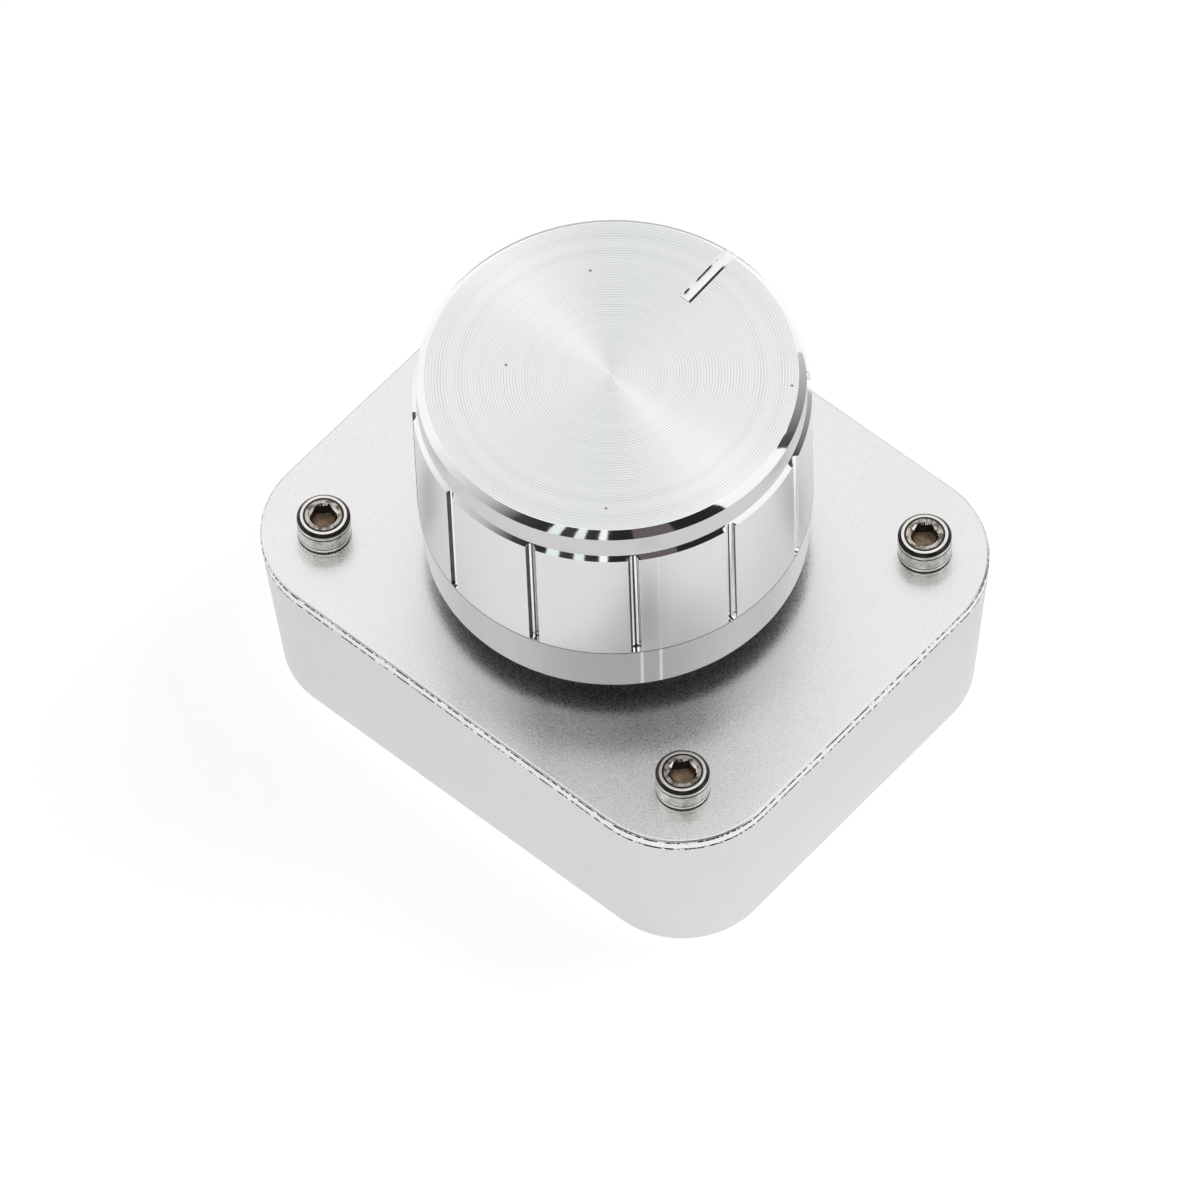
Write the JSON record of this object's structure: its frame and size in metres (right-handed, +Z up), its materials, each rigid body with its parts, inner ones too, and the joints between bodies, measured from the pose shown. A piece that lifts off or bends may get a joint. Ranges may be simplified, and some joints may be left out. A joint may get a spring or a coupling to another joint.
{
  "type": "usb volume control knob",
  "caption": "Desk volume control: a turned aluminium knob that turns and presses, on a rounded screwed aluminium base with a charging socket and a power switch at the back.",
  "frame": {"origin": "centre of the base, on the surface that the rubber feet stand on", "axes": "+Z up, parallel to the knob's axis, +X along the base's longer side, +Y towards the wall with the charging socket and the power switch"},
  "size_m": [0.0638, 0.0532, 0.051],
  "materials": {
    "housing": "bead-blasted, matte",
    "top_plate": "bead-blasted, matte",
    "knob": "turned, satin with polished chamfers",
    "cap_screws": "nickel plated",
    "rubber_feet": "matte",
    "knob_insert": "moulded",
    "encoder_shaft": "turned",
    "encoder_frame": "plated sheet",
    "encoder_nut": "plated",
    "encoder_washer": "plated",
    "encoder_case": "moulded",
    "encoder_rotor": "stamped",
    "detent_spring": "stamped",
    "push_plunger": "moulded",
    "switch_dome": "stamped",
    "encoder_terminals": "tinned",
    "circuit_board": "solder mask",
    "board_screws": "plated",
    "radio_chip": "moulded",
    "charging_chip": "moulded",
    "crystal": "plated can",
    "capacitors": "ceramic",
    "resistors": "ceramic",
    "usb_socket_shell": "plated sheet",
    "usb_socket_tongue": "moulded",
    "usb_contacts": "gold plated",
    "power_switch_case": "plated sheet",
    "power_switch_slider": "moulded",
    "power_switch_terminals": "tinned",
    "battery_cell": "laminated foil pouch",
    "battery_pad": "foam",
    "battery_leads": "insulation",
    "battery_plug": "moulded",
    "battery_header": "moulded"
  },
  "bodies": {
    "base": {"housing": "housing", "top_plate": "top_plate", "cap_screws": "cap_screws", "rubber_feet": "rubber_feet", "encoder_frame": "encoder_frame", "encoder_nut": "encoder_nut", "encoder_washer": "encoder_washer", "encoder_case": "encoder_case", "detent_spring": "detent_spring", "switch_dome": "switch_dome", "encoder_terminals": "encoder_terminals", "circuit_board": "circuit_board", "board_screws": "board_screws", "radio_chip": "radio_chip", "charging_chip": "charging_chip", "crystal": "crystal", "capacitors": "capacitors", "resistors": "resistors", "usb_socket_shell": "usb_socket_shell", "usb_socket_tongue": "usb_socket_tongue", "usb_contacts": "usb_contacts", "power_switch_case": "power_switch_case", "power_switch_terminals": "power_switch_terminals", "battery_cell": "battery_cell", "battery_pad": "battery_pad", "battery_leads": "battery_leads", "battery_plug": "battery_plug", "battery_header": "battery_header"},
    "push_carrier": {"push_plunger": "push_plunger"},
    "knob": {"knob": "knob", "knob_insert": "knob_insert", "encoder_shaft": "encoder_shaft"},
    "rotor": {"encoder_rotor": "encoder_rotor"},
    "switch_slider": {"power_switch_slider": "power_switch_slider"}
  },
  "joints": [
    {"name": "knob_press", "type": "slide", "parent": "base", "child": "push_carrier", "axis": [0, 0, -1], "range_m": [0, 0.0005], "stiffness_N_per_m": 6000, "springref_m": -0.0005},
    {"name": "knob_turn", "type": "hinge", "parent": "push_carrier", "child": "knob", "pos_m": [-0.0006, -0.0004, 0.03], "axis": [0, 0, 1], "continuous": true},
    {"name": "rotor_turn", "type": "hinge", "parent": "base", "child": "rotor", "pos_m": [-0.0006, -0.0004, 0.017], "axis": [0, 0, 1], "continuous": true},
    {"name": "power_slide", "type": "slide", "parent": "base", "child": "switch_slider", "axis": [1, 0, 0], "range_m": [0, 0.002]}
  ],
  "couplings": [
    {"joint": "rotor_turn", "follows": "knob_turn", "ratio": 1}
  ]
}
